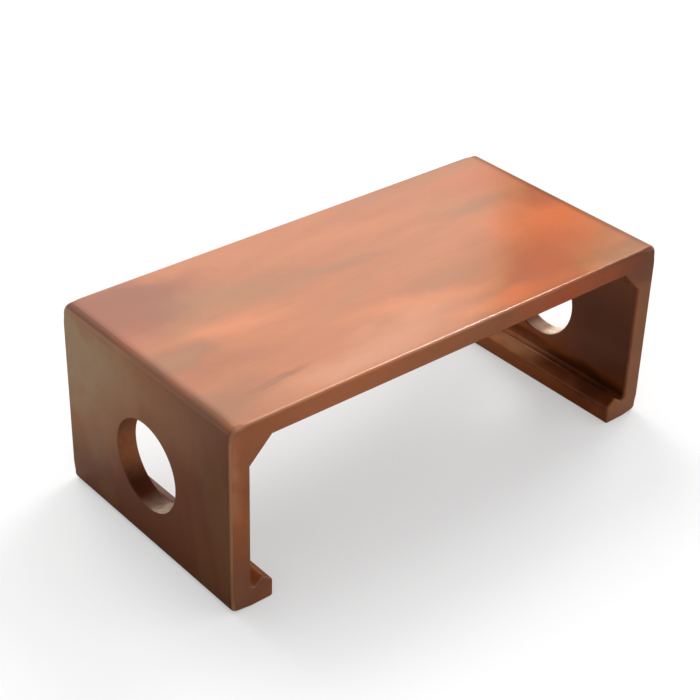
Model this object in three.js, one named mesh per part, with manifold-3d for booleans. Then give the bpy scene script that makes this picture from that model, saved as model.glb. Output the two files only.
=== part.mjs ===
// A low table in one bent-over band: a top and two sides, mitred at the corners, on feet that turn inwards.
// Millimetres, +Z up. The origin is on the floor under the middle of the table, and -Y is its front.
import * as THREE from 'three';
import { mergeVertices } from 'three/addons/utils/BufferGeometryUtils.js';
import Module from 'manifold-3d';

// The whole table
const tableLength = 600;
const tableDepth = 297;
const tableHeight = 225;

// The boards, each glued up from staves. An even number puts a seam through the middle of the hand hole,
// so that no stave is cut in two by it.
const boardThickness = 23.5;
const stavesPerBoard = 4;

// The round hand hole in each side board
const handHoleDiameter = 104;
const handHoleRim = 1.5;

// The triangular block in the corner under the top
const cornerBlockLeg = 27;

// The foot rail: how far it stands in from its board, and the heights of its outline from the floor
const footReach = 27.5;
const footTipHeight = 21.5;
const footRidgeHeight = 31.2;
const footGrooveHeight = 22.5;
const footLipHeight = 26.5;
// Where the groove and the ridge lie between the board (0) and the tip (1)
const footGrooveShare = 0.11;
const footRidgeShare = 0.545;

// Rounded edges
const topEdgeRadius = 10;
const soleEdgeRadius = 8;
const footTipRadius = 3;
const footRidgeRadius = 3.5;
const footGrooveRadius = 3;
const endEdgeRadius = 2.5;

// The hidden joints
const jointClearance = 0.3;
const tongueThickness = 5;
const tongueLength = 40;
const tongueReach = 13;
const tonguePlaceShare = 1 / 3;
const dowelDiameter = 8;
const dowelReachInBoard = 11;
const dowelReachInRail = 14;

// Finish colours
const lacqueredWood = { color: 0xa8694a, roughness: 0.32, metalness: 0 };
const bareWood = { color: 0xcdb083, roughness: 0.85, metalness: 0 };

// Facets
const arcSteps = 3;
const edgeSteps = 3;
const holeSides = 64;
const dowelSides = 16;

// A cut runs this far past the faces that it opens
const overrun = 5;

const halfLength = tableLength / 2;
const halfDepth = tableDepth / 2;
const undersideHeight = tableHeight - boardThickness;
const blockFootHeight = undersideHeight - cornerBlockLeg;
const staveWidth = tableDepth / stavesPerBoard;
const seamAt = (index) => index * staveWidth - halfDepth;
const staveMiddle = (index) => seamAt(index) + staveWidth / 2;

const wasm = await Module();
wasm.setup();

// A closed three.js geometry as a solid that can be cut
function solidFrom(geometry) {
  const bare = geometry.clone();
  bare.deleteAttribute('normal');
  bare.deleteAttribute('uv');
  const merged = mergeVertices(bare);
  return new wasm.Manifold(new wasm.Mesh({
    numProp: 3,
    vertProperties: merged.attributes.position.array,
    triVerts: Uint32Array.from(merged.index.array),
  }));
}

function meshFrom(solid, name, look) {
  const { vertProperties, triVerts } = solid.getMesh();
  const geometry = new THREE.BufferGeometry();
  geometry.setAttribute('position', new THREE.BufferAttribute(vertProperties, 3));
  geometry.setIndex(new THREE.BufferAttribute(triVerts, 1));
  geometry.computeVertexNormals();
  return namedMesh(geometry, name, look);
}

function namedMesh(geometry, name, look) {
  const mesh = new THREE.Mesh(geometry, new THREE.MeshStandardMaterial(look));
  mesh.name = name;
  return mesh;
}

// A closed outline through corners [x, z, radius]. A radius gives way where the next corner is too near:
// it may take all of the way to a sharp corner, and half of the way to a rounded one.
function roundedShape(corners) {
  const points = corners.map(([x, z]) => new THREE.Vector2(x, z));
  const isSharp = corners.map(([, , radius]) => radius === 0);
  const shape = new THREE.Shape();
  points.forEach((corner, index) => {
    const previous = (index + points.length - 1) % points.length;
    const next = (index + 1) % points.length;
    const back = points[previous].clone().sub(corner);
    const ahead = points[next].clone().sub(corner);
    const halfAngle = back.angleTo(ahead) / 2;
    const roomBack = isSharp[previous] ? back.length() : back.length() / 2;
    const roomAhead = isSharp[next] ? ahead.length() : ahead.length() / 2;
    const radius = Math.min(corners[index][2], Math.min(roomBack, roomAhead) * Math.tan(halfAngle));
    if (radius === 0) {
      if (index === 0) shape.moveTo(corner.x, corner.y);
      else shape.lineTo(corner.x, corner.y);
      return;
    }
    back.normalize();
    ahead.normalize();
    const run = radius / Math.tan(halfAngle);
    const start = corner.clone().addScaledVector(back, run);
    const end = corner.clone().addScaledVector(ahead, run);
    const middle = back.clone().add(ahead).normalize();
    const centre = corner.clone().addScaledVector(middle, radius / Math.sin(halfAngle));
    const startAngle = start.clone().sub(centre).angle();
    const endAngle = end.clone().sub(centre).angle();
    const turnsRight = back.cross(ahead) > 0;
    if (index === 0) shape.moveTo(start.x, start.y);
    shape.absarc(centre.x, centre.y, radius, startAngle, endAngle, turnsRight);
  });
  return shape;
}

// An outline drawn in X and Z, extruded along Y about the middle of the table, its end edges rounded
function extrudedAlongY(shape, length, edgeRadius) {
  const geometry = new THREE.ExtrudeGeometry(shape, {
    depth: length - 2 * edgeRadius,
    curveSegments: arcSteps,
    bevelEnabled: edgeRadius > 0,
    bevelThickness: edgeRadius,
    bevelSize: edgeRadius,
    bevelOffset: -edgeRadius,
    bevelSegments: edgeSteps,
  });
  geometry.rotateX(Math.PI / 2);
  geometry.translate(0, length / 2 - edgeRadius, 0);
  return geometry;
}

function boxBetween(low, high) {
  const size = high.clone().sub(low);
  const geometry = new THREE.BoxGeometry(size.x, size.y, size.z);
  const middle = low.clone().add(high).multiplyScalar(1 / 2);
  geometry.translate(middle.x, middle.y, middle.z);
  return solidFrom(geometry);
}

// The section of the finished table from one outer face inwards, as [distance in, height, radius]
const halfSection = [
  [0, 0, soleEdgeRadius],
  [boardThickness + footReach, 0, footTipRadius],
  [boardThickness + footReach, footTipHeight, footTipRadius],
  [boardThickness + footReach * footRidgeShare, footRidgeHeight, footRidgeRadius],
  [boardThickness + footReach * footGrooveShare, footGrooveHeight, footGrooveRadius],
  [boardThickness, footLipHeight, 0],
  [boardThickness, blockFootHeight, 0],
  [boardThickness + cornerBlockLeg, undersideHeight, 0],
];

// The rounding along the front and back edges can't be larger than the section's own round corners
const sectionRadii = [topEdgeRadius, soleEdgeRadius, footTipRadius, footRidgeRadius];
const endRounding = Math.min(endEdgeRadius, ...sectionRadii);

// Everything glued, as one solid: the makers round its edges after the glue has set
function gluedTable() {
  const leftCorners = halfSection.map(([inwards, height, radius]) => [inwards - halfLength, height, radius]);
  const rightCorners = halfSection.map(([inwards, height, radius]) => [halfLength - inwards, height, radius]);
  const topCorners = [[halfLength, tableHeight, topEdgeRadius], [-halfLength, tableHeight, topEdgeRadius]];
  const outline = roundedShape([...leftCorners, ...rightCorners.reverse(), ...topCorners]);
  return solidFrom(extrudedAlongY(outline, tableDepth, endRounding));
}

// Cuts and pieces below are placed by a side, -1 on the left and 1 on the right, and a distance in from it.
const acrossFrom = (side, inwards) => side * (halfLength - inwards);

// The mitre runs from the upper outer edge to the inner corner. Each board gives half of the glue gap.
const mitreSetBack = jointClearance / Math.SQRT2;
const pastBothEnds = tableDepth + 2 * overrun;

function regionAlongY(corners) {
  const shape = new THREE.Shape(corners.map(([x, z]) => new THREE.Vector2(x, z)));
  return solidFrom(extrudedAlongY(shape, pastBothEnds, 0));
}

function sideBoardRegion(side) {
  return regionAlongY([
    [acrossFrom(side, -overrun), -overrun],
    [acrossFrom(side, boardThickness), -overrun],
    [acrossFrom(side, boardThickness), undersideHeight - mitreSetBack],
    [acrossFrom(side, -overrun), tableHeight + overrun - mitreSetBack],
  ]);
}

function topBoardRegion() {
  const innerEnd = halfLength - boardThickness - mitreSetBack;
  const outerEnd = halfLength + overrun - mitreSetBack;
  return regionAlongY([
    [-innerEnd, undersideHeight],
    [innerEnd, undersideHeight],
    [outerEnd, tableHeight + overrun],
    [-outerEnd, tableHeight + overrun],
  ]);
}

// The strip against a side board's inner face, between two heights
function innerStripRegion(side, width, low, high) {
  return regionAlongY([
    [acrossFrom(side, boardThickness), low],
    [acrossFrom(side, boardThickness + width), low],
    [acrossFrom(side, boardThickness + width), high],
    [acrossFrom(side, boardThickness), high],
  ]);
}

// The hand hole is centred between the foot rail and the corner block. Its rims are rounded.
const handHoleHeight = (footLipHeight + blockFootHeight) / 2;

function handHoleCutter(side) {
  const radius = handHoleDiameter / 2;
  const face = boardThickness / 2;
  const profile = new THREE.Path();
  profile.moveTo(0, -face - overrun);
  profile.lineTo(radius + handHoleRim, -face - overrun);
  profile.lineTo(radius + handHoleRim, -face);
  profile.absarc(radius + handHoleRim, handHoleRim - face, handHoleRim, -Math.PI / 2, -Math.PI, true);
  profile.absarc(radius + handHoleRim, face - handHoleRim, handHoleRim, Math.PI, Math.PI / 2, true);
  profile.lineTo(radius + handHoleRim, face + overrun);
  profile.lineTo(0, face + overrun);
  // Half a facet of turn keeps the facets' corners off the seam that crosses the hole
  const geometry = new THREE.LatheGeometry(profile.getPoints(edgeSteps), holeSides, Math.PI / holeSides);
  geometry.rotateZ(Math.PI / 2);
  geometry.translate(acrossFrom(side, face), 0, handHoleHeight);
  return solidFrom(geometry);
}

// A loose tongue stands upright here. It and its mortises are tilted to lie square across the mitre.
function tongueGeometry(clearance) {
  const radius = tongueThickness / 2 + clearance;
  const straight = tongueLength / 2 - tongueThickness / 2;
  const outline = new THREE.Shape();
  outline.absarc(0, straight, radius, 0, Math.PI);
  outline.absarc(0, -straight, radius, Math.PI, 2 * Math.PI);
  const reach = tongueReach + clearance;
  const geometry = new THREE.ExtrudeGeometry(outline, {
    depth: 2 * reach,
    curveSegments: arcSteps,
    bevelEnabled: false,
  });
  return geometry.translate(0, 0, -reach);
}

function tonguePlace(side, index) {
  const inwards = boardThickness * (1 - tonguePlaceShare);
  const height = undersideHeight + boardThickness * tonguePlaceShare;
  const place = new THREE.Object3D();
  place.position.set(acrossFrom(side, inwards), staveMiddle(index), height);
  place.rotation.y = -side * Math.PI / 4;
  place.updateMatrix();
  return place;
}

// A dowel lies along X, with its middle on the joint between the side board and the foot rail
function dowelGeometry(clearance) {
  const radius = dowelDiameter / 2 + clearance;
  const length = dowelReachInBoard + dowelReachInRail + 2 * clearance;
  return new THREE.CylinderGeometry(radius, radius, length, dowelSides).rotateZ(Math.PI / 2);
}

function dowelPlace(side, index) {
  const inwards = boardThickness + (dowelReachInRail - dowelReachInBoard) / 2;
  const place = new THREE.Object3D();
  place.position.set(acrossFrom(side, inwards), staveMiddle(index), footTipHeight / 2);
  place.updateMatrix();
  return place;
}

const staveIndexes = Array.from({ length: stavesPerBoard }, (_, index) => index);
const mortises = (side) => staveIndexes.map((index) =>
  solidFrom(tongueGeometry(jointClearance).applyMatrix4(tonguePlace(side, index).matrix)));
const dowelBores = (side) => staveIndexes.map((index) =>
  solidFrom(dowelGeometry(jointClearance).applyMatrix4(dowelPlace(side, index).matrix)));
const without = (solid, cutters) => cutters.reduce((rest, cutter) => rest.subtract(cutter), solid);

// Saw a board into its staves along the seams, from the front one to the back one
function stavesOf(board, name) {
  return staveIndexes.map((index) => {
    const low = new THREE.Vector3(-halfLength - overrun, seamAt(index), -overrun);
    const high = new THREE.Vector3(halfLength + overrun, seamAt(index + 1), tableHeight + overrun);
    if (index === 0) low.y -= overrun;
    if (index === stavesPerBoard - 1) high.y += overrun;
    return meshFrom(board.intersect(boxBetween(low, high)), `${name}_stave_${index + 1}`, lacqueredWood);
  });
}

// Loose pieces that repeat at each stave, at the places that their sockets have
function looseRow(geometry, placeOf, side, name) {
  return staveIndexes.map((index) => {
    const piece = namedMesh(geometry, `${name}_${index + 1}`, bareWood);
    const place = placeOf(side, index);
    piece.position.copy(place.position);
    piece.rotation.copy(place.rotation);
    return piece;
  });
}

const whole = gluedTable();

function topBoard() {
  const board = without(whole.intersect(topBoardRegion()), [...mortises(-1), ...mortises(1)]);
  return new THREE.Group().add(...stavesOf(board, 'top'));
}

function sideAssembly(side, name) {
  const boardCuts = [handHoleCutter(side), ...mortises(side), ...dowelBores(side)];
  const board = without(whole.intersect(sideBoardRegion(side)), boardCuts);
  const blockRegion = innerStripRegion(side, cornerBlockLeg, handHoleHeight, undersideHeight);
  const block = whole.intersect(blockRegion);
  const railRegion = innerStripRegion(side, footReach + overrun, -overrun, handHoleHeight);
  const rail = without(whole.intersect(railRegion), dowelBores(side));
  return new THREE.Group().add(
    ...stavesOf(board, `${name}_side`),
    meshFrom(block, `${name}_corner_block`, lacqueredWood),
    meshFrom(rail, `${name}_foot_rail`, lacqueredWood),
    ...looseRow(tongueGeometry(0), tonguePlace, side, `${name}_mitre_tongue`),
    ...looseRow(dowelGeometry(0), dowelPlace, side, `${name}_foot_dowel`),
  );
}

const table = new THREE.Group();
table.add(topBoard(), sideAssembly(-1, 'left'), sideAssembly(1, 'right'));

export default table;
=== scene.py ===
# A low table in one bent-over band, in red-brown lacquered wood: a top and two sides mitred at the corners,
# a round hand hole through each side, and feet that turn inwards.
from math import pi, radians

import bmesh
import bpy
import numpy as np
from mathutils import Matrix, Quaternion, Vector


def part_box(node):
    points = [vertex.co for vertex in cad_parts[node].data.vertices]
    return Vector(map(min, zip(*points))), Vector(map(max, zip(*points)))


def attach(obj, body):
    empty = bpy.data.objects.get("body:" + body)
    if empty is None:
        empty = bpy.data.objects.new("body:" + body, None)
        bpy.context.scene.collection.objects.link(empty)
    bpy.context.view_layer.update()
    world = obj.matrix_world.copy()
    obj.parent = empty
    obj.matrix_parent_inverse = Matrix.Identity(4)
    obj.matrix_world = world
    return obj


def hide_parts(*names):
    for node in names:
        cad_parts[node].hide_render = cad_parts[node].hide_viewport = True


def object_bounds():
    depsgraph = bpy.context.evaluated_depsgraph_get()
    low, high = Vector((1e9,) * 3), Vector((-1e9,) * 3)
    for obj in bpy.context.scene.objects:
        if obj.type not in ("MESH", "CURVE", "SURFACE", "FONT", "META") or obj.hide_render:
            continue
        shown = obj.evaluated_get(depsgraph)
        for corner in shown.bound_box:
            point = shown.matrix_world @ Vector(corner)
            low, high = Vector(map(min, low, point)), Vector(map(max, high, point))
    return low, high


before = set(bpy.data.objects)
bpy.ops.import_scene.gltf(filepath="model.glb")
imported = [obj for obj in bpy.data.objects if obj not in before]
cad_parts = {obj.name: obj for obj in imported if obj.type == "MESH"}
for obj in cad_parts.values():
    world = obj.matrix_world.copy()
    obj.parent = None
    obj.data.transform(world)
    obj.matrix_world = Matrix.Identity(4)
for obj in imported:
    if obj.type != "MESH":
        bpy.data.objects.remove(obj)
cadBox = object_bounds()

# Sizes that the frame gives
halfLength, halfDepth, tableHeight = cadBox[1]
tableMiddle = (cadBox[0] + cadBox[1]) / 2
topLow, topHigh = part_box("top_stave_1")
blockLow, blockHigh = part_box("left_corner_block")
railLow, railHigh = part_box("left_foot_rail")
boardThickness = topHigh.z - topLow.z
underside = topLow.z
blockFoot = blockLow.z
blockReach = blockHigh.x - blockLow.x
footReach = railHigh.x - railLow.x
staveNumbers = (1, 2, 3, 4)
seams = [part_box(f"top_stave_{number}")[0].y for number in staveNumbers] + [halfDepth]
sides = {"left": -1, "right": 1}
samePlace = 1e-6  # metres within which two places count as one


def addObject(name, data):
    added = bpy.data.objects.new(name, data)
    bpy.context.scene.collection.objects.link(added)
    return added


print("stage: camera")

# The viewpoint of the photograph: turns in degrees, lengths in metres, lens and sensor in millimetres
viewpoint = {
    "azimuth": -40.834,
    "elevation": 32.343,
    "roll": 1.715,
    "distance": 1.91813,
    "pastMiddleRight": 0.01983,
    "pastMiddleDown": 0.01129,
    "lens": 87.787,
    "sensor": 36,
}


def makeCamera():
    camera = addObject("camera", bpy.data.cameras.new("camera"))
    bpy.context.scene.camera = camera
    camera.data.lens = viewpoint["lens"]
    camera.data.sensor_width = viewpoint["sensor"]
    azimuth, elevation = radians(viewpoint["azimuth"]), radians(viewpoint["elevation"])
    back = Vector((np.sin(azimuth), -np.cos(azimuth), np.tan(elevation))).normalized()
    turn = back.to_track_quat("Z", "Y") @ Quaternion((0, 0, 1), radians(viewpoint["roll"]))
    offset = Vector((-viewpoint["pastMiddleRight"], viewpoint["pastMiddleDown"], viewpoint["distance"]))
    camera.rotation_mode = "QUATERNION"
    camera.rotation_quaternion = turn
    camera.location = tableMiddle + turn @ offset


makeCamera()


print("stage: sections of the boards")

# The outline of the glued table, in metres. Edges are rounded after the glue has set.
outline = {
    "topEdgeRadius": 0.010,
    "soleEdgeRadius": 0.008,
    "endRounding": 0.0025,
    "endRoundingOutside": 0.0035,
    "endRoundingAtCorners": 0.0060,
    "outsideFade": (0.003, 0.012),  # from the outer faces, the outside rounding gives way to the inside one
    "cornerFade": (0.010, 0.024),  # from the outer corners, theirs gives way to the others
    "tipHeight": 0.0215,
    "ridgeHeight": 0.0312,
    "grooveHeight": 0.0225,
    "lipHeight": 0.0265,
    "ridgeShare": 0.545,
    "grooveShare": 0.11,
    "tipRadius": 0.003,
    "ridgeRadius": 0.0035,
    "grooveRadius": 0.003,
    "stepsPerQuarter": 12,
    "longRun": 0.06,  # a straight run longer than this gets extra places, this far from its ends:
    "extraPlaces": (0.003, 0.006, 0.010, 0.015),
}


# A face of the section through two places [inwards, height], travelled with the wood on its left:
# its outward direction, its distance along that direction, and the share of an inset that it takes part in.
def face(start, end, share=1.0):
    along = np.subtract(end, start)
    outward = np.array([along[1], -along[0]]) / np.hypot(*along)
    return outward, outward @ np.array(start), share


# Where two faces meet: places, and how far each place moves for a metre of inset. A sharp corner is the
# solution of both line equations. A rounded one is centre + side * radius * outward, where outward turns from
# the first face to the second and side is 1 on a bulge and -1 in a hollow. Its places move along -outward.
def corner(before, after, radius=0.0, part=(0.0, 1.0)):
    outwards = np.array([before[0], after[0]])
    meeting = np.linalg.solve(outwards, [before[1], after[1]])
    moves = np.linalg.solve(outwards, [-before[2], -after[2]])
    if radius == 0.0:
        return meeting[None], moves[None]
    turn = np.arctan2(before[0][0] * after[0][1] - before[0][1] * after[0][0], before[0] @ after[0])
    steps = 1 + int(np.ceil(abs(turn) * (part[1] - part[0]) / (pi / 2) * outline["stepsPerQuarter"]))
    angles = np.arctan2(before[0][1], before[0][0]) + turn * np.linspace(*part, steps)
    outward = np.column_stack([np.cos(angles), np.sin(angles)])
    side = np.sign(turn)
    centre = meeting + side * radius * moves
    return centre + side * radius * outward, -outward


def section(*corners):
    places, moves = zip(*corners)
    return np.concatenate(places), np.concatenate(moves)


# A section drawn inwards from the left outer face, laid on one side of the table
def onSide(drawn, side):
    places, moves = drawn
    mirror = np.array([-side, 1.0])
    places = places * mirror + [side * halfLength, 0.0]
    moves = moves * mirror
    return (places, moves) if side < 0 else (places[::-1], moves[::-1])


innerPlane = boardThickness
footTip = innerPlane + footReach
ridge = [innerPlane + footReach * outline["ridgeShare"], outline["ridgeHeight"]]
groove = [innerPlane + footReach * outline["grooveShare"], outline["grooveHeight"]]
lip = [innerPlane, outline["lipHeight"]]
blockFootPlace = [innerPlane, blockFoot]
blockHeadPlace = [innerPlane + blockReach, underside]
mitreFoot = [innerPlane, underside]

topFace = face([footTip, tableHeight], [0, tableHeight])
outerFace = face([0, tableHeight], [0, 0])
sole = face([0, 0], [footTip, 0])
tipFace = face([footTip, 0], [footTip, outline["tipHeight"]])
ridgeSlope = face([footTip, outline["tipHeight"]], ridge)
grooveSlope = face(ridge, groove)
lipSlope = face(groove, lip)
innerFace = face(lip, blockFootPlace)
chamfer = face(blockFootPlace, blockHeadPlace)
undersideFace = face(blockHeadPlace, [halfLength, underside])
gluedToSide = face(mitreFoot, [innerPlane, 0], 0.0)
gluedToStrip = face([innerPlane, 0], mitreFoot, 0.0)
blockTop = face(blockHeadPlace, mitreFoot, 0.0)
topOnBlock = face(mitreFoot, blockHeadPlace, 0.0)
mitreOfSide = face(mitreFoot, [0, tableHeight], 0.0)

# The top's rounded edge runs over the mitre: its upper half is the top's and its lower half the side board's
topEdgeOnTop = corner(topFace, outerFace, outline["topEdgeRadius"], (0.0, 0.5))
topEdgeOnSide = corner(topFace, outerFace, outline["topEdgeRadius"], (0.5, 1.0))
soleEdge = corner(outerFace, sole, outline["soleEdgeRadius"])

topHalfSection = section(
    topEdgeOnTop,
    (np.array([mitreFoot]), np.zeros((1, 2))),
    corner(topOnBlock, chamfer),
    corner(chamfer, undersideFace),
)
sideEndSection = section(
    corner(sole, gluedToStrip),
    corner(gluedToStrip, lipSlope),
    corner(lipSlope, innerFace),
    corner(innerFace, chamfer),
    corner(chamfer, gluedToStrip),
    corner(gluedToStrip, mitreOfSide),
    topEdgeOnSide,
    soleEdge,
)
# Beside the hand hole a stave has no rounded end, and its inner face is one flat face from sole to mitre
sideMiddleSection = section(
    corner(sole, gluedToStrip),
    corner(gluedToStrip, mitreOfSide),
    topEdgeOnSide,
    soleEdge,
)
blockSection = section(corner(chamfer, blockTop), corner(blockTop, gluedToSide), corner(gluedToSide, chamfer))
railSection = section(
    corner(sole, tipFace, outline["tipRadius"]),
    corner(tipFace, ridgeSlope, outline["tipRadius"]),
    corner(ridgeSlope, grooveSlope, outline["ridgeRadius"]),
    corner(grooveSlope, lipSlope, outline["grooveRadius"]),
    corner(lipSlope, gluedToSide),
    corner(gluedToSide, sole),
)


# Long straight runs of a section get extra places close to their ends: place + share * (next place - place)
def refined(drawn):
    places, moves = drawn
    nextPlaces, nextMoves = np.roll(places, -1, axis=0), np.roll(moves, -1, axis=0)
    length = np.maximum(np.hypot(*(nextPlaces - places).T), samePlace)[:, None]
    steps = np.array(outline["extraPlaces"]) / length
    shares = np.concatenate([np.zeros_like(length), steps, 1 - steps[:, ::-1]], axis=1)
    kept = (shares == 0) | (length > outline["longRun"])
    extra = shares[..., None]
    places = places[:, None] + extra * (nextPlaces - places)[:, None]
    moves = moves[:, None] + extra * (nextMoves - moves)[:, None]
    return places[kept], moves[kept]


# 1 up to the first distance and 0 from the second one on, with an S-shaped slope between
def fading(distance, first, second):
    share = np.clip((second - distance) / (second - first), 0, 1)
    return share * share * (3 - 2 * share)


# The radius of the rounding at a front or back end: smallest inside the table, larger outside, and largest at
# the outer corners of the section
def endRadius(places):
    fromSide, fromFloor = halfLength - np.abs(places[:, 0]), places[:, 1]
    fromTop = tableHeight - fromFloor
    outside = fading(np.minimum(fromSide, fromTop), *outline["outsideFade"])
    radius = outline["endRounding"] + outside * (outline["endRoundingOutside"] - outline["endRounding"])
    atCorner = fading(np.hypot(fromSide, np.minimum(fromTop, fromFloor)), *outline["cornerFade"])
    return radius + atCorner * (outline["endRoundingAtCorners"] - radius)


# Four-cornered faces between neighbouring rows and columns of point numbers. The second grid holds the number
# that follows each one of the first in its row.
def quadsBetween(index, following):
    quads = np.stack([index[:-1], index[1:], following[1:], following[:-1]], axis=-1)
    return quads.reshape(-1, 4).tolist()


# A section carried along Y. At a rounded end of radius r the inset of place i is r (1 - sin t) at the
# distance r (1 - cos t) from the end, for t over a quarter turn: point (t, i) is place i plus the inset times
# the move of i.
def carriedAlongY(drawn, front, back):
    places, moves = refined(drawn)
    radius = endRadius(places)
    turn = np.linspace(0, pi / 2, outline["stepsPerQuarter"] // 2 + 1)[:, None]
    square = np.full((1, 1), pi / 2)
    atFront = turn if front <= -halfDepth + samePlace else square
    atBack = turn[::-1] if back >= halfDepth - samePlace else square
    reachFront = radius * (1 - np.cos(atFront)) * (len(atFront) > 1)
    reachBack = radius * (1 - np.cos(atBack)) * (len(atBack) > 1)
    ys = np.concatenate([front + reachFront, back - reachBack])
    inset = np.concatenate([radius * (1 - np.sin(atFront)), radius * (1 - np.sin(atBack))])
    rings = places[None] + inset[..., None] * moves[None]
    points = np.stack([rings[..., 0], ys, rings[..., 1]], axis=-1).reshape(-1, 3)
    index = np.arange(len(points)).reshape(len(ys), len(places))
    faces = quadsBetween(index, np.roll(index, -1, axis=1))
    return points, faces + [index[0].tolist(), index[-1, ::-1].tolist()]


# The hand hole through a side board, in metres
handHole = {"diameter": 0.104, "rim": 0.0015, "turnSteps": 48, "rimSteps": 5}
holeHeight = (outline["lipHeight"] + blockFoot) / 2


print("stage: wood and lacquer")

# A board's colours, from dark to light, its lacquer, the painted shade along its rounded edges, and its paler
# edge lines, partly wear and partly a painted highlight
lacquer = {
    "darkTone": (0.34, 0.100, 0.036, 1),
    "middleTone": (0.51, 0.162, 0.054, 1),
    "lightTone": (0.70, 0.222, 0.076, 1),
    "poreTone": (0.12, 0.035, 0.016, 1),
    "sideTint": (1.00, 0.92, 0.68, 1),
    "endTint": (0.95, 0.97, 1.05, 1),
    "tints": {
        "olive": (0.39, 0.17, 0.062, 1),
        # pale and greyish: paints a sheen of reflected light wherever a stain lays it
        "paintedSheen": (0.76, 0.49, 0.34, 1),
        "ember": (0.70, 0.170, 0.058, 1),
        "rust": (0.50, 0.130, 0.052, 1),
        "brick": (0.66, 0.118, 0.024, 1),
        # near-black brown: painted shade in the bores, grooves and insides, and a darkening of the top's back
        # left corner and of the front ends' top right
        "shadeAndDarkening": (0.150, 0.048, 0.024, 1),
        # near-white: a painted reflection low in the bores and in the left groove, broken into patches
        "paintedReflection": (1.0, 0.89, 0.93, 1),
    },
    "toneStops": (0.22, 0.5, 0.78),  # where the dark, middle and light tones lie
    "tone": 0.505,
    "figureSlant": -11,
    "figure": 0.30,  # how much each noise moves the tone
    "bands": 0.14,
    "streaks": 0.05,
    "fibres": 0.04,
    "endTone": 0.38,
    "endFigure": 0.25,
    "gloss": 0.5,
    "roughness": (0.145, 0.195),  # where the smears are weakest, and where they are strongest
    "boreGloss": 0.15,
    "boreRoughness": 0.3,
    "grainBump": 0.03,
    "grainDepth": 0.0004,
    # greyish brown: painted shade along the top's rounded left and right edges
    "edgeShadeTone": (0.225, 0.135, 0.108, 1),
    "edgeShadeOnTop": (0.17, 0.055, 0.018, 1),
    "edgeShade": 0.60,
    "edgeShadeGloss": 0.5,
    "leftInsideGloss": 0.45,
    "insideAllowance": 0.001,  # taken off the distance below the top before it is held against the inside
    # paler tones for the edges of the front and back ends: partly wear, partly a painted highlight
    "wearAndHighlightTone": (0.86, 0.40, 0.18, 1),
    "wearAndHighlightOnTop": (0.88, 0.54, 0.38, 1),
    "wearAndHighlightTopEdge": 0.36,
    "wearAndHighlightSideEdge": 0.80,
    # painted shade on the top's front and back edges towards the right
    "edgeLineShadeTone": (0.13, 0.045, 0.022, 1),
    "edgeLineShade": 0.5,
    "edgeLineShadeGloss": 0.5,
}

# Noises in the wood: waves per metre (along, across, depth), detail, and distortion
woodNoises = {
    "clouds": ((4.0, 11.0, 11.0), 3.0, 0.4),
    "bands": ((2.0, 26.0, 26.0), 2.0, 0.0),
    "streaks": ((6.0, 120.0, 120.0), 2.0, 0.0),
    "fibres": ((34.0, 1300.0, 1300.0), 2.0, 0.0),
    "endClouds": ((14.0, 30.0, 14.0), 2.0, 0.0),
    "olive": ((3.2, 17.0, 17.0), 2.0, 0.3),
    "paintedReflection": ((150.0, 150.0, 150.0), 2.0, 0.0),
    "pores": ((60.0, 1900.0, 1900.0), 1.0, 0.0),
    "smears": ((9.0, 14.0, 14.0), 3.0, 0.0),
    "beechRays": ((120.0, 900.0, 900.0), 3.0, 0.0),
}

# Masks: (first place, second place, value at the first, value at the second), with an S-shaped slope between.
# A place is a distance in metres, in the direction and from the start that its note says, or a noise's level.
masks = {
    "onSides": (0.002, 0.001, 0.0, 1.0),  # inwards from a side board's inner face
    "onEnd": (-0.0050, -0.0010, 0.0, 1.0),  # outwards from the front and back ends
    "inBore": (0.0, -0.001, 0.0, 1.0),  # outwards from the hole's rim
    "onInside": (-0.003, -0.001, 0.0, 1.0),  # inwards from the inner faces
    "onRight": (-0.001, 0.001, 0.0, 1.0),  # to the right from the middle
    "edgeShadeAcross": (0.018, 0.009, 0.0, lacquer["edgeShade"]),  # inwards from the outer faces
    "edgeShadeDown": (0.003, 0.011, 1.0, 0.0),  # down from the top
    "edgeShadeBack": (0.004, 0.03, 0.4, 1.0),  # back from the front end
    "edgeShadeBroken": (0.25, 0.5, 0.8, 1.0),  # level of the clouds
    "edgeShadeTone": (0.00002, 0.0003, 0.0, 1.0),  # down from the top
    "wearAndHighlightRises": (-0.0044, -0.0024, 0.0, 1.0),  # outwards from the ends
    "wearAndHighlightFalls": (-0.0012, -0.0002, 1.0, 0.0),  # outwards from the ends
    "wearAndHighlightDown": (0.004, 0.02, lacquer["wearAndHighlightTopEdge"], lacquer["wearAndHighlightSideEdge"]),  # down from the top
    "wearAndHighlightRight": (0.0, 0.18, 1.0, 0.35),  # to the right from the middle
    "wearAndHighlightInside": (-0.006, 0.0, 1.0, 0.35),  # inwards from the inner faces
    "wearAndHighlightBands": (0.35, 0.6, 0.5, 1.0),  # level of the bands
    "wearAndHighlightTone": (0.002, 0.006, 0.0, 1.0),  # down from the top
    "edgeLineShadeOut": (-0.0040, -0.0030, 0.0, 1.0),  # outwards from the ends
    "edgeLineShadeDown": (0.0032, 0.0010, 0.0, 1.0),  # down from the top
    "edgeLineShadeRight": (0.10, 0.25, 0.0, 1.0),  # to the right from the middle
    "olive": (0.52, 0.72, 0.0, 0.6),  # level of each one's own noise, from here on
    "paintedReflection": (0.35, 0.6, 0.65, 1.0),
    "pores": (0.62, 0.74, 0.0, 0.18),
    "smears": (0.3, 0.7, *lacquer["roughness"]),
    "beechRays": (0.35, 0.65, 0.0, 1.0),
}

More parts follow.
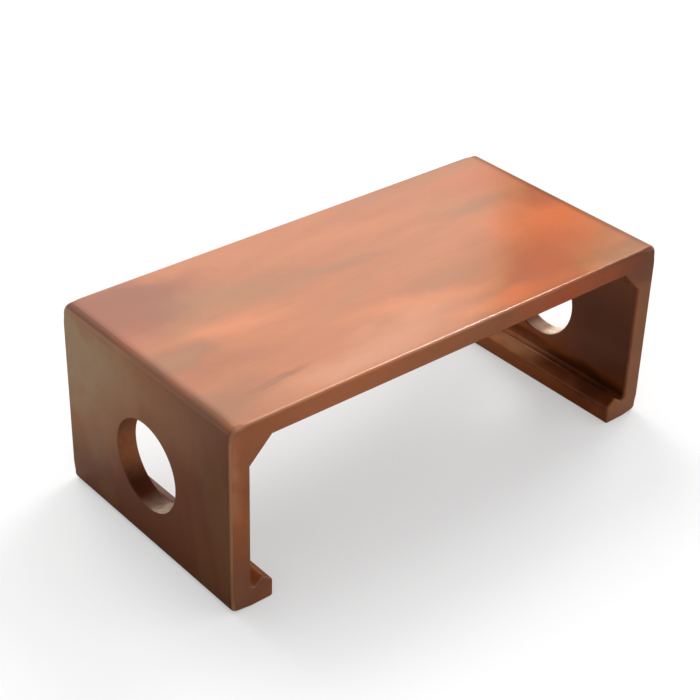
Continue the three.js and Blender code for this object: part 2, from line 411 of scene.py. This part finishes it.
# Soft stains in the lacquer: [along, across, half length, half width, slant in degrees, lighter, tint, and
# its share]. A board's own are laid out in its wood space, those of the ends on X and Z, and the others on
# Y and Z. The places and sizes are in metres.
stains = {
    # On the top, the three pale greyish stains near the front edge paint a reflected sheen
    "top": [
        [-0.290, 0.098, 0.15, 0.098, -8, -0.62, "shadeAndDarkening", 0.38],
        [-0.290, 0.090, 0.10, 0.070, 0, 0.00, "brick", 0.14],
        [-0.290, 0.035, 0.07, 0.045, 0, -0.12, "ember", 0.3],
        [-0.170, 0.108, 0.09, 0.030, -8, -0.20, "olive", 0.0],
        [-0.150, 0.060, 0.15, 0.045, -10, -0.14, "olive", 0.6],
        [-0.200, 0.008, 0.13, 0.026, -8, 0.20, "olive", 0.0],
        [-0.262, -0.014, 0.06, 0.034, 0, -0.38, "olive", 0.7],
        [-0.230, -0.050, 0.10, 0.030, 0, -0.16, "olive", 0.0],
        [0.050, 0.085, 0.16, 0.030, -4, 0.12, "olive", 0.0],
        [-0.010, 0.034, 0.09, 0.018, -6, -0.12, "olive", 0.4],
        [0.060, -0.055, 0.09, 0.035, -10, -0.04, "olive", 0.4],
        [0.200, 0.050, 0.09, 0.024, -5, -0.14, "olive", 0.5],
        [0.140, 0.116, 0.14, 0.034, 0, -0.10, "ember", 0.3],
        [0.265, 0.105, 0.10, 0.060, 0, 0.00, "ember", 0.3],
        [0.010, -0.080, 0.13, 0.028, -14, 0.22, "olive", 0.0],
        [0.030, -0.125, 0.05, 0.020, 0, 0.20, "olive", 0.0],
        [-0.120, -0.128, 0.17, 0.032, 0, 0.08, "paintedSheen", 0.22],
        [-0.030, -0.100, 0.10, 0.034, 0, 0.10, "paintedSheen", 0.14],
        [0.255, -0.035, 0.14, 0.065, 37, 0.15, "ember", 0.95],
        [0.176, -0.092, 0.125, 0.050, 28, -0.30, "rust", 1.1],
        [0.196, -0.006, 0.060, 0.036, 30, 0.10, "ember", 0.5],
        [0.110, -0.128, 0.09, 0.020, 5, 0.25, "ember", 0.8],
        [0.292, 0.018, 0.050, 0.045, 15, -0.50, "rust", 1.0],
        [-0.280, -0.110, 0.10, 0.060, 0, -0.28, "olive", 0.5],
        [-0.205, -0.103, 0.06, 0.007, 3, -0.40, "olive", 0.4],
        [0.275, -0.132, 0.08, 0.022, 0, -0.30, "olive", 0.6],
        [0.225, -0.140, 0.06, 0.024, 0, 0.00, "paintedSheen", 0.10],
    ],
    # On the left side the stains paint light: paler and greyer towards the upper back, a painted reflection,
    # and darker towards the bottom and the front, painted shade
    "left": [
        [-0.350, 0.130, 0.16, 0.150, 0, 0.26, "paintedSheen", 0.90],
        [-0.315, 0.145, 0.04, 0.050, 0, 0.05, "paintedSheen", 0.40],
        [-0.330, 0.000, 0.09, 0.200, 0, 0.22, "paintedSheen", 0.25],
        [-0.330, 0.070, 0.06, 0.110, 0, 0.08, "paintedSheen", 0.22],
        [-0.385, 0.120, 0.03, 0.060, 30, 0.10, "paintedSheen", 0.30],
        [-0.400, -0.150, 0.28, 0.200, 0, -0.40, "olive", 0.0],
        [-0.530, 0.000, 0.12, 0.350, 0, -0.55, "olive", 0.0],
        [-0.490, 0.150, 0.06, 0.040, 0, 0.10, "olive", 0.6],
    ],
    "right": [
        [0.420, 0.000, 0.60, 0.700, 0, -0.30, "rust", 0.50],
        [0.350, 0.085, 0.13, 0.050, 6, -0.25, "olive", 0.50],
        [0.370, -0.070, 0.16, 0.030, -6, 0.22, "ember", 0.50],
        [0.430, 0.020, 0.20, 0.030, 4, 0.30, "paintedSheen", 0.12],
        [0.480, -0.115, 0.13, 0.045, 0, -0.30, "olive", 0.50],
        [0.490, 0.100, 0.12, 0.030, -4, 0.25, "ember", 0.40],
        [0.530, 0.000, 0.10, 0.300, 0, -0.40, "olive", 0.0],
    ],
    # On the front ends some stains paint light and shade: a paler line up the left front corner, a lighter
    # left half and darker right end of the top's front face, and painted shade at the foot of each leg
    "ends": [
        [0.300, 0.215, 0.12, 0.060, 0, -0.55, "shadeAndDarkening", 0.18],
        [0.288, 0.100, 0.04, 0.140, 0, -0.05, "olive", 0.5],
        [0.275, 0.012, 0.05, 0.040, 0, -0.15, "paintedSheen", 0.12],
        [-0.288, 0.020, 0.06, 0.080, 0, -0.38, "paintedSheen", 0.14],
        [-0.296, 0.150, 0.02, 0.100, 0, 0.34, "paintedSheen", 0.12],
        [-0.140, 0.213, 0.20, 0.040, 0, 0.30, "ember", 0.2],
        [0.160, 0.210, 0.14, 0.035, 0, 0.10, "brick", 0.9],
        [0.240, 0.214, 0.08, 0.038, 0, -0.15, "shadeAndDarkening", 0.30],
    ],
    # In the bores: painted shade on parts of the wall, and a pale painted reflection low on the wall
    "bores": [
        [0.026, 0.056, 0.040, 0.034, 0, -0.70, "shadeAndDarkening", 1.3],
        [-0.021, 0.052, 0.038, 0.028, 0, 0.00, "paintedReflection", 1.75],
        [0.045, 0.100, 0.030, 0.050, 0, 0.00, "paintedReflection", 0.17],
        [0.048, 0.124, 0.022, 0.030, 0, -0.20, "shadeAndDarkening", 0.3],
    ],
    # Inside the right side: painted shade over the inner face and in the groove of the foot rail, with thin
    # bands of painted light
    "rightInside": [
        [-0.110, 0.105, 0.160, 0.100, 0, -0.14, "shadeAndDarkening", 0.42],
        [-0.130, 0.050, 0.150, 0.035, 0, -0.12, "shadeAndDarkening", 0.20],
        [-0.080, 0.028, 0.160, 0.014, 0, -0.33, "shadeAndDarkening", 0.75],
        [-0.125, 0.024, 0.065, 0.011, 0, -0.12, "shadeAndDarkening", 0.35],
        [0.030, 0.038, 0.060, 0.012, 0, -0.25, "shadeAndDarkening", 0.55],
        [0.018, 0.030, 0.068, 0.013, 0, 0.23, "paintedSheen", 0.48],
        [-0.140, 0.008, 0.040, 0.014, 0, 0.10, "paintedSheen", 0.12],
    ],
    # Inside the left side: painted shade in the groove of the foot rail, a faint painted reflection in it,
    # and painted light near the front
    "leftInside": [
        [0.050, 0.025, 0.110, 0.045, 0, -0.60, "shadeAndDarkening", 0.95],
        [0.030, 0.028, 0.080, 0.030, 0, 0.00, "paintedReflection", 0.10],
        [-0.140, 0.026, 0.050, 0.030, 0, 0.15, "paintedSheen", 0.22],
    ],
}

# How the edges of the stains wander: noise in waves per metre, and its reach in metres (along, across, depth)
wandering = {"waves": 16.0, "detail": 2.0, "reach": (0.09, 0.030, 0.0)}


class NodeTree:
    # Makes, fills and links the nodes of a material or of the world
    def __init__(self, owner, shader="Principled BSDF"):
        owner.use_nodes = True
        self.owner = owner
        self.tree = owner.node_tree
        self.shader = self.tree.nodes[shader]

    # Each input is linked where its value comes from another node, and set where it is a number or colour
    def fill(self, node, inputs):
        for key, value in inputs.items():
            if isinstance(value, bpy.types.NodeSocket):
                self.tree.links.new(value, node.inputs[key])
            else:
                node.inputs[key].default_value = value

    def add(self, kind, inputs=None, **settings):
        node = self.tree.nodes.new(kind)
        for key, value in settings.items():
            setattr(node, key, value)
        self.fill(node, inputs or {})
        return node

    def math(self, operation, first, second=0.0, third=0.0):
        return self.add("ShaderNodeMath", {0: first, 1: second, 2: third}, operation=operation).outputs[0]

    def product(self, first, *others):
        for other in others:
            first = self.math("MULTIPLY", first, other)
        return first

    def without(self, mask):
        return self.math("SUBTRACT", 1.0, mask)

    def vector(self, operation, first, second):
        return self.add("ShaderNodeVectorMath", {0: first, 1: second}, operation=operation).outputs[0]

    def noise(self, space, name):
        waves, detail, distortion = woodNoises[name]
        scaled = self.vector("MULTIPLY", space, waves)
        inputs = {"Vector": scaled, "Scale": 1.0, "Detail": detail, "Distortion": distortion}
        return self.add("ShaderNodeTexNoise", inputs).outputs["Fac"]

    def remap(self, value, low, high, newLow, newHigh):
        inputs = {0: value, 1: low, 2: high, 3: newLow, 4: newHigh}
        return self.add("ShaderNodeMapRange", inputs, interpolation_type="SMOOTHSTEP").outputs[0]

    # A named mask of a distance or of a noise's level. Its two places are counted from start.
    def mask(self, name, value, start=0.0):
        first, second, firstValue, secondValue = masks[name]
        return self.remap(value, start + first, start + second, firstValue, secondValue)

    # The first value where the mask is 0, and the second one where it is 1
    def between(self, mask, first, second):
        return self.remap(mask, 0.0, 1.0, first, second)

    # A tone moved both ways by a noise: tone + amount * (noise - 0.5)
    def varied(self, tone, noise, amount):
        return self.math("MULTIPLY_ADD", self.math("SUBTRACT", noise, 0.5), amount, tone)

    def blend(self, factor, first, second, kind="MIX"):
        node = self.add("ShaderNodeMix", {0: factor, 6: first, 7: second}, data_type="RGBA", blend_type=kind)
        return node.outputs[2]

    def ramp(self, value, stops):
        node = self.add("ShaderNodeValToRGB", {0: value})
        made = node.color_ramp.elements
        while len(made) < len(stops):
            made.new(0.5)
        for stop, (position, colour) in zip(made, stops):
            stop.position, stop.color = position, colour
        return node.outputs[0]


# Wood space of a board: its first axis runs along the grain, its third out of the shown face.
# The grain of the top runs on over each mitre and down the side.
def woodSpace(tree, turn, shift):
    place = tree.add("ShaderNodeTexCoord").outputs["Object"]
    inputs = {"Vector": place, "Location": shift, "Rotation": [radians(angle) for angle in turn]}
    return tree.add("ShaderNodeMapping", inputs).outputs[0]


# The stains of one list: how much lighter they make a place, and the share of each tint there. A stain's
# strength falls smoothly from its middle to the edge of its oval.
def stainsOn(tree, space, marks):
    noiseInputs = {"Vector": space, "Scale": wandering["waves"], "Detail": wandering["detail"]}
    wander = tree.add("ShaderNodeTexNoise", noiseInputs).outputs["Color"]
    wander = tree.vector("MULTIPLY", tree.vector("SUBTRACT", wander, (0.5, 0.5, 0.5)), wandering["reach"])
    wandered = tree.vector("ADD", space, wander)
    lighter, shares = 0.0, {}
    for along, across, halfLong, halfWide, slant, lightening, tint, share in marks:
        local = tree.add("ShaderNodeMapping", {
            "Vector": wandered,
            "Location": (along, across, tableHeight),
            "Rotation": (0, 0, radians(slant)),
            "Scale": (halfLong, halfWide, 1.0),
        }, vector_type="TEXTURE")
        spot = tree.add("ShaderNodeTexGradient", {"Vector": local.outputs[0]}, gradient_type="SPHERICAL")
        soft = tree.between(spot.outputs["Fac"], 0.0, 1.0)
        lighter = tree.math("MULTIPLY_ADD", soft, lightening, lighter)
        if share:
            shares[tint] = tree.math("MULTIPLY_ADD", soft, share, shares.get(tint, 0.0))
    return lighter, shares


# Lacquered wood for one board or strip. Its zones are its own shown faces, the front and back ends,
# the bores of the hand holes, and the insides of the table. Each has a mask, a layout and a list of stains.
def lacqueredWood(name, turn=(0, 0, 0), shift=(0, 0, 0), tint=(1, 1, 1, 1), marks=(), figureShare=1.0):
    tree = NodeTree(bpy.data.materials.new(name))
    space = woodSpace(tree, turn, shift)
    place = tree.add("ShaderNodeSeparateXYZ", {0: woodSpace(tree, (0, 0, 0), (0, 0, 0))}).outputs
    fromMiddle = tree.math("ABSOLUTE", place["Y"])
    fromSide = tree.math("SUBTRACT", halfLength, tree.math("ABSOLUTE", place["X"]))
    fromTop = tree.math("SUBTRACT", tableHeight, place["Z"])
    axisHeight = tree.math("SUBTRACT", place["Z"], holeHeight)
    squares = tree.math("ADD", tree.math("POWER", fromMiddle, 2.0), tree.math("POWER", axisHeight, 2.0))
    fromAxis = tree.math("SQRT", squares)
    underTop = tree.math("SUBTRACT", fromTop, lacquer["insideAllowance"])
    inwards = tree.math("MINIMUM", fromSide, underTop)

    onEnd = tree.mask("onEnd", fromMiddle, halfDepth)
    rimRadius = handHole["diameter"] / 2 + handHole["rim"]
    onSides = tree.mask("onSides", fromSide, boardThickness)
    inBore = tree.product(onSides, tree.mask("inBore", fromAxis, rimRadius))
    onInside = tree.mask("onInside", inwards, boardThickness)
    onInside = tree.product(onInside, tree.without(onEnd), tree.without(inBore))
    onRight = tree.product(onInside, tree.mask("onRight", place["X"]))
    onLeft = tree.math("SUBTRACT", onInside, onRight)
    rest = tree.without(tree.math("ADD", tree.math("ADD", onEnd, inBore), onInside))
    endSpace = woodSpace(tree, (-90, 0, 0), (0, 0, tableHeight - halfDepth))
    acrossSpace = tree.add("ShaderNodeCombineXYZ", {0: place["Y"], 1: place["Z"], 2: tableHeight}).outputs[0]
    zones = (
        (rest, space, marks),
        (onEnd, endSpace, stains["ends"]),
        (inBore, acrossSpace, stains["bores"]),
        (onRight, acrossSpace, stains["rightInside"]),
        (onLeft, acrossSpace, stains["leftInside"]),
    )

    # The tone of the wood: clouds and bands along the grain, others on the front and back ends, and streaks
    # and fibres on all
    slant = (0, 0, radians(lacquer["figureSlant"]))
    figure = tree.add("ShaderNodeMapping", {"Vector": space, "Rotation": slant}).outputs[0]
    clouds, bands = tree.noise(figure, "clouds"), tree.noise(figure, "bands")
    streaks, fibres = tree.noise(space, "streaks"), tree.noise(space, "fibres")
    tone = tree.varied(lacquer["tone"], clouds, lacquer["figure"] * figureShare)
    tone = tree.varied(tone, bands, lacquer["bands"] * figureShare)
    endClouds = tree.noise(endSpace, "endClouds")
    endTone = tree.math("MULTIPLY_ADD", endClouds, lacquer["endFigure"], lacquer["endTone"])
    offEnd = tree.without(onEnd)
    tone = tree.math("ADD", tree.product(tone, offEnd), tree.product(endTone, onEnd))
    tone = tree.varied(tone, streaks, lacquer["streaks"])
    tone = tree.varied(tone, fibres, lacquer["fibres"])

    # The stains of all zones, added up for each tint
    totals = {"olive": tree.mask("olive", tree.product(offEnd, tree.noise(figure, "olive")))}
    for zone, layout, zoneMarks in zones:
        lighter, shares = stainsOn(tree, layout, zoneMarks)
        tone = tree.math("MULTIPLY_ADD", zone, lighter, tone)
        for tintName, share in shares.items():
            totals[tintName] = tree.math("MULTIPLY_ADD", zone, share, totals.get(tintName, 0.0))
    # The near-white painted reflection is broken into patches
    reflectionPatches = tree.mask("paintedReflection", tree.noise(space, "paintedReflection"))
    totals["paintedReflection"] = tree.product(tree.math("MINIMUM", totals["paintedReflection"], 1.0), reflectionPatches)

    tones = (lacquer["darkTone"], lacquer["middleTone"], lacquer["lightTone"])
    colour = tree.ramp(tone, list(zip(lacquer["toneStops"], tones)))
    for tintName, share in totals.items():
        colour = tree.blend(tree.math("MINIMUM", share, 1.0), colour, lacquer["tints"][tintName])
    colour = tree.blend(tree.mask("pores", tree.noise(space, "pores")), colour, lacquer["poreTone"])
    colour = tree.blend(1.0, colour, tree.blend(onEnd, tint, lacquer["endTint"]), "MULTIPLY")

    # Painted shade along the top's rounded left and right edges: a darker, greyish and duller band
    edgeShade = tree.product(tree.mask("edgeShadeAcross", fromSide), tree.mask("edgeShadeDown", fromTop))
    edgeShade = tree.product(edgeShade, tree.mask("edgeShadeBack", place["Y"], -halfDepth))
    edgeShadeTone = tree.blend(tree.mask("edgeShadeTone", fromTop), lacquer["edgeShadeOnTop"], lacquer["edgeShadeTone"])
    colour = tree.blend(tree.product(edgeShade, tree.mask("edgeShadeBroken", clouds)), colour, edgeShadeTone)

    # Paler edges of the front and back ends: partly wear, partly a painted highlight along the edge lines
    wearAndHighlight = tree.product(tree.mask("wearAndHighlightDown", fromTop), tree.mask("wearAndHighlightRight", place["X"]))
    wearAndHighlight = tree.product(wearAndHighlight, tree.mask("wearAndHighlightInside", inwards, boardThickness))
    wearAndHighlightLine = tree.mask("wearAndHighlightRises", fromMiddle, halfDepth)
    wearAndHighlightLine = tree.product(wearAndHighlightLine, tree.mask("wearAndHighlightFalls", fromMiddle, halfDepth))
    wearAndHighlight = tree.product(wearAndHighlight, wearAndHighlightLine, tree.mask("wearAndHighlightBands", bands))
    wearAndHighlightTone = tree.blend(tree.mask("wearAndHighlightTone", fromTop), lacquer["wearAndHighlightOnTop"], lacquer["wearAndHighlightTone"])
    colour = tree.blend(wearAndHighlight, colour, wearAndHighlightTone)

    # Painted shade: the top's front and back edges are darker and duller towards the right
    edgeLineShade = tree.product(tree.mask("edgeLineShadeOut", fromMiddle, halfDepth), tree.mask("edgeLineShadeDown", fromTop))
    edgeLineShade = tree.product(edgeLineShade, tree.mask("edgeLineShadeRight", place["X"]))
    colour = tree.blend(tree.product(edgeLineShade, lacquer["edgeLineShade"]), colour, lacquer["edgeLineShadeTone"])

    roughness = tree.mask("smears", tree.noise(space, "smears"))
    roughness = tree.math("MULTIPLY_ADD", inBore, lacquer["boreRoughness"], roughness)
    dulled = tree.product(
        tree.between(edgeShade, 1.0, lacquer["edgeShadeGloss"]),
        tree.between(edgeLineShade, 1.0, lacquer["edgeLineShadeGloss"]),
        tree.between(onLeft, 1.0, lacquer["leftInsideGloss"]),
    )
    gloss = tree.product(tree.between(inBore, lacquer["gloss"], lacquer["boreGloss"]), dulled)
    bumpInputs = {"Strength": lacquer["grainBump"], "Distance": lacquer["grainDepth"], "Height": streaks}
    bump = tree.add("ShaderNodeBump", bumpInputs).outputs[0]
    tree.fill(tree.shader, {
        "Base Color": colour,
        "Roughness": roughness,
        "Specular IOR Level": gloss,
        "Normal": bump,
    })
    return tree.owner


# The turn and the shift of each wood space
around = tableHeight - halfLength
onLeftSide = (0, 90, 0), (-tableHeight - halfLength, 0, around)
onRightSide = (0, -90, 0), (tableHeight + halfLength, 0, around)
onStrips = (0, 0, -90), (0.4, 0.7, 0.2)

sideTint = lacquer["sideTint"]
lacquerOnTop = lacqueredWood("lacquerOnTop", marks=stains["top"])
lacquerOnSide = {
    "left": lacqueredWood("lacquerOnLeftSide", *onLeftSide, sideTint, stains["left"], figureShare=0.4),
    "right": lacqueredWood("lacquerOnRightSide", *onRightSide, sideTint, stains["right"], figureShare=0.6),
}
lacquerOnStrips = lacqueredWood("lacquerOnStrips", *onStrips, sideTint, figureShare=0.6)


# Unfinished beech, for the tongues and dowels inside the joints
beech = {
    "lightTone": (0.62, 0.44, 0.25, 1),
    "darkTone": (0.46, 0.29, 0.14, 1),
    "roughness": 0.85,
    "bump": 0.2,
    "bumpDepth": 0.0002,
}


def bareBeech(name, turn):
    tree = NodeTree(bpy.data.materials.new(name))
    rays = tree.noise(woodSpace(tree, turn, (0, 0, 0)), "beechRays")
    colour = tree.blend(tree.mask("beechRays", rays), beech["darkTone"], beech["lightTone"])
    bumpInputs = {"Strength": beech["bump"], "Distance": beech["bumpDepth"], "Height": rays}
    bump = tree.add("ShaderNodeBump", bumpInputs).outputs[0]
    tree.fill(tree.shader, {"Base Color": colour, "Roughness": beech["roughness"], "Normal": bump})
    return tree.owner


beechAcrossMitre = bareBeech("beechAcrossMitre", (0, 45, 0))
beechAlongX = bareBeech("beechAlongX", (0, 0, 0))
for name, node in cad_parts.items():
    if "tongue" in name or "dowel" in name:
        node.data.materials.clear()
        node.data.materials.append(beechAcrossMitre if "tongue" in name else beechAlongX)


print("stage: boards")


# Points that fall together are merged, flat faces shade flat and edges over 30 degrees stay crisp
def addPiece(name, points, faces, material, replaced):
    mesh = bpy.data.meshes.new(name)
    mesh.from_pydata(points.tolist(), [], faces)
    clean = bmesh.new()
    clean.from_mesh(mesh)
    bmesh.ops.remove_doubles(clean, verts=clean.verts, dist=samePlace)
    bmesh.ops.recalc_face_normals(clean, faces=clean.faces)
    clean.to_mesh(mesh)
    clean.free()
    mesh.shade_smooth()
    mesh.set_sharp_from_angle(angle=radians(30))
    mesh.materials.append(material)
    piece = addObject(name, mesh)
    normals = piece.modifiers.new("flat faces", "WEIGHTED_NORMAL")
    normals.keep_sharp = True
    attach(piece, "root")
    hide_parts(replaced)
    return piece


left, right = onSide(topHalfSection, -1), onSide(topHalfSection, 1)
topSection = (np.concatenate([left[0], right[0]]), np.concatenate([left[1], right[1]]))
for number in staveNumbers:
    shape = carriedAlongY(topSection, seams[number - 1], seams[number])
    addPiece(f"topStave{number}", *shape, lacquerOnTop, f"top_stave_{number}")


# Half of the hole's wall: a profile [inwards, radius] of rim, bore and rim, turned about the hole's axis
# from straight up to straight down on one side. Place p at the angle t has y = radius of p * sin t and
# z = height of the axis + radius of p * cos t.
def halfBore(side, towards):
    radius, rim = handHole["diameter"] / 2, handHole["rim"]
    turn = np.linspace(0, pi / 2, handHole["rimSteps"] + 1)
    outerRim = np.column_stack([rim * (1 - np.cos(turn)), radius + rim * (1 - np.sin(turn))])
    innerRim = outerRim[::-1] * [-1, 1] + [boardThickness, 0]
    profile = np.concatenate([outerRim, innerRim])
    angles = np.linspace(0, pi, handHole["turnSteps"] + 1)
    x = np.broadcast_to(side * (halfLength - profile[:, 0, None]), (len(profile), len(angles)))
    y = towards * profile[:, 1, None] * np.sin(angles)
    z = holeHeight + profile[:, 1, None] * np.cos(angles)
    return np.stack([x, y, z], axis=-1)


# A stave with half of the hole: its section is carried to the middle seam, and both flat faces and the end
# in the middle seam stop at the hole's wall. Places 0 and 1 of the section are its inner face.
def staveBesideHole(side, seam):
    places = sideMiddleSection[0]
    x, z = side * (halfLength - places[:, 0]), places[:, 1]
    rings = [np.column_stack([x, np.full_like(x, y), z]) for y in (seam, 0.0)]
    bore = halfBore(side, np.sign(seam))
    count = len(places)
    atSeam = np.arange(count)
    atMiddle = atSeam + count
    wall = 2 * count + np.arange(bore.shape[0] * bore.shape[1]).reshape(bore.shape[:2])
    innerFoot, innerHead = 0, 1
    outerHead = 1 + len(topEdgeOnSide[0])
    outerFoot = outerHead + 1
    strips = [i for i in range(count) if i not in (innerFoot, outerHead)]
    faces = [[atSeam[i], atMiddle[i], atMiddle[(i + 1) % count], atSeam[(i + 1) % count]] for i in strips]
    faces += quadsBetween(wall[:, :-1], wall[:, 1:])
    faces.append([*wall[0], atMiddle[outerFoot], atSeam[outerFoot], atSeam[outerHead], atMiddle[outerHead]])
    faces.append([*wall[-1], atMiddle[innerFoot], atSeam[innerFoot], atSeam[innerHead], atMiddle[innerHead]])
    faces.append(atSeam.tolist())
    faces.append([*wall[:, 0], *atMiddle[innerHead:outerHead + 1]])
    faces.append([*wall[::-1, -1], *atMiddle[outerFoot:], atMiddle[innerFoot]])
    points = np.concatenate([*rings, bore.reshape(-1, 3)])
    return points, [[int(i) for i in corners] for corners in faces]


for sideName, side in sides.items():
    for number in staveNumbers:
        front, back = seams[number - 1], seams[number]
        if number in (1, 4):
            shape = carriedAlongY(onSide(sideEndSection, side), front, back)
        else:
            shape = staveBesideHole(side, front if number == 2 else back)
        material = lacquerOnSide[sideName]
        addPiece(f"{sideName}SideStave{number}", *shape, material, f"{sideName}_side_stave_{number}")
    block = carriedAlongY(onSide(blockSection, side), -halfDepth, halfDepth)
    addPiece(f"{sideName}CornerBlock", *block, lacquerOnStrips, f"{sideName}_corner_block")
    rail = carriedAlongY(onSide(railSection, side), -halfDepth, halfDepth)
    addPiece(f"{sideName}FootRail", *rail, lacquerOnStrips, f"{sideName}_foot_rail")


print("stage: floor, lights and world")

studio = {
    "floorReach": 30,
    "floorDrop": 0.0002,
    "floorColour": (0.32, 0.32, 0.32, 1),
    "floorMirrored": (0.24, 0.24, 0.24, 1),
    "floorGlow": 0.72,
    "floorRoughness": 0.9,
    "shadowReach": 0.5,
    "shadowDepth": 0.5,
    "shadowFrom": (49, 50),
    "shadowSamples": 16,
    "skyStrength": 0.1,
    "horizonSeen": (0.10, (0.9, 0.9, 0.9, 1)),  # height on a unit sphere, and what is seen there
    "skySeen": (0.30, (0.16, 0.16, 0.16, 1)),
    "softboxHeights": (1.16, 2.6),
    "softboxDistance": 4.0,
    "sideSoftboxPlace": (-0.72, 1.03, 0.88),
    "sideSoftboxSize": (0.8, 0.5),
    "sideSoftboxPower": 3.5,
}

# Two upright softboxes behind the table, each from its right edge to its left one, in degrees from +X
# towards +Y as seen from the ground below the camera, and its radiance
softboxes = {"widerSoftbox": (43.7, 63, 1.65), "narrowSoftbox": (28, 39.6, 0.9)}

# Distant lights: azimuth and elevation in degrees, the angle across the light, the brightness of a white
# board that faces it, whether it lights surfaces ("lit") or is only mirrored in the lacquer ("mirrored"),
# and its colour
distantLights = {
    "backKey": (80, 50, 28, 0.54, "lit", (1, 1, 1)),
    "rightKey": (18, 36, 28, 0.66, "lit", (1, 1, 1)),
    "frontFill": (-80, 12, 28, 0.17, "lit", (1, 1, 1)),
    "topFill": (-30, 46, 28, 0.14, "lit", (1, 1, 1)),
    "edgeLight": (29.5, 44, 7, 0.20, "mirrored", (1, 0.90, 0.82)),
    "leftEdgeLight": (35.5, 46, 8, 0.12, "mirrored", (1, 0.92, 0.86)),
}


# A direction as a vector: azimuth from +X towards +Y, and elevation above the horizon, in degrees
def heading(azimuth, elevation):
    azimuth, elevation = radians(azimuth), radians(elevation)
    level = np.cos(elevation)
    return Vector((np.cos(azimuth) * level, np.sin(azimuth) * level, np.sin(elevation)))


def makeFloor():
    reach, height = studio["floorReach"], -studio["floorDrop"]
    mesh = bpy.data.meshes.new("floor")
    corners = [(x * reach, y * reach, height) for x, y in ((-1, -1), (1, -1), (1, 1), (-1, 1))]
    mesh.from_pydata(corners, [], [(0, 1, 2, 3)])
    tree = NodeTree(bpy.data.materials.new("paleFloor"))
    seen = tree.add("ShaderNodeLightPath").outputs
    colour = tree.blend(seen["Is Glossy Ray"], studio["floorColour"], studio["floorMirrored"])
    shown = tree.math("ADD", seen["Is Camera Ray"], seen["Is Transmission Ray"])
    # The glow that camera and transmission rays see is darkened by ambient occlusion aimed towards the
    # lights: a painted soft shadow on the floor
    openness = {"Distance": studio["shadowReach"], "Normal": heading(*studio["shadowFrom"])}
    near = tree.add("ShaderNodeAmbientOcclusion", openness, samples=studio["shadowSamples"]).outputs["AO"]
    unshaded = tree.math("MULTIPLY_ADD", near, studio["shadowDepth"], 1 - studio["shadowDepth"])
    tree.fill(tree.shader, {
        "Base Color": colour,
        "Roughness": studio["floorRoughness"],
        "Specular IOR Level": 0.0,
        "Emission Color": (1, 1, 1, 1),
        "Emission Strength": tree.product(shown, unshaded, studio["floorGlow"]),
    })
    mesh.materials.append(tree.owner)
    addObject("floor", mesh)


def addSoftbox(name, size, power, place, back):
    light = bpy.data.lights.new(name, "AREA")
    light.shape = "RECTANGLE"
    light.size, light.size_y = size
    light.energy = power
    softbox = addObject(name, light)
    softbox.location = place
    softbox.rotation_euler = Vector(back).to_track_quat("Z", "Y").to_euler()
    return softbox


def makeLights():
    for name, (azimuth, elevation, across, brightness, purpose, colour) in distantLights.items():
        sun = bpy.data.lights.new(name, "SUN")
        sun.energy = brightness * pi
        sun.angle = radians(across)
        sun.color = colour
        light = addObject(name, sun)
        light.rotation_euler = heading(azimuth, elevation).to_track_quat("Z", "Y").to_euler()
        light.visible_glossy = purpose == "mirrored"
        light.visible_diffuse = purpose == "lit"

    place, size = studio["sideSoftboxPlace"], studio["sideSoftboxSize"]
    sideSoftbox = addSoftbox("sideSoftbox", size, studio["sideSoftboxPower"], place, place)
    sideSoftbox.visible_glossy = False
    sideSoftbox.visible_camera = False

    ground = bpy.context.scene.camera.location * Vector((1, 1, 0))
    distance = studio["softboxDistance"]
    lowest, highest = studio["softboxHeights"]
    for name, (rightEdge, leftEdge, radiance) in softboxes.items():
        middle = heading((rightEdge + leftEdge) / 2, 0)
        width, height = 2 * distance * np.tan(radians((leftEdge - rightEdge) / 2)), highest - lowest
        place = ground + middle * distance + Vector((0, 0, (lowest + highest) / 2))
        addSoftbox(name, (width, height), radiance * pi * width * height, place, middle)


# What the camera and the lacquer see is a pale horizon under a dim ceiling. Other rays find an even sky,
# which is weak.
def makeWorld():
    world = bpy.data.worlds.new("studio")
    bpy.context.scene.world = world
    tree = NodeTree(world, "Background")
    direction = tree.add("ShaderNodeTexCoord").outputs["Generated"]
    upwards = tree.add("ShaderNodeSeparateXYZ", {0: direction}).outputs["Z"]
    mirrored = tree.ramp(upwards, [studio["horizonSeen"], studio["skySeen"]])
    seen = tree.add("ShaderNodeLightPath").outputs
    shown = tree.math("MAXIMUM", seen["Is Camera Ray"], seen["Is Glossy Ray"])
    shown = tree.math("MAXIMUM", shown, seen["Is Transmission Ray"])
    sky = [studio["skyStrength"]] * 3 + [1]
    tree.fill(tree.shader, {"Color": tree.blend(shown, sky, mirrored), "Strength": 1.0})


makeFloor()
makeLights()
makeWorld()
bpy.context.scene.view_settings.view_transform = "Standard"

print("stage: done")
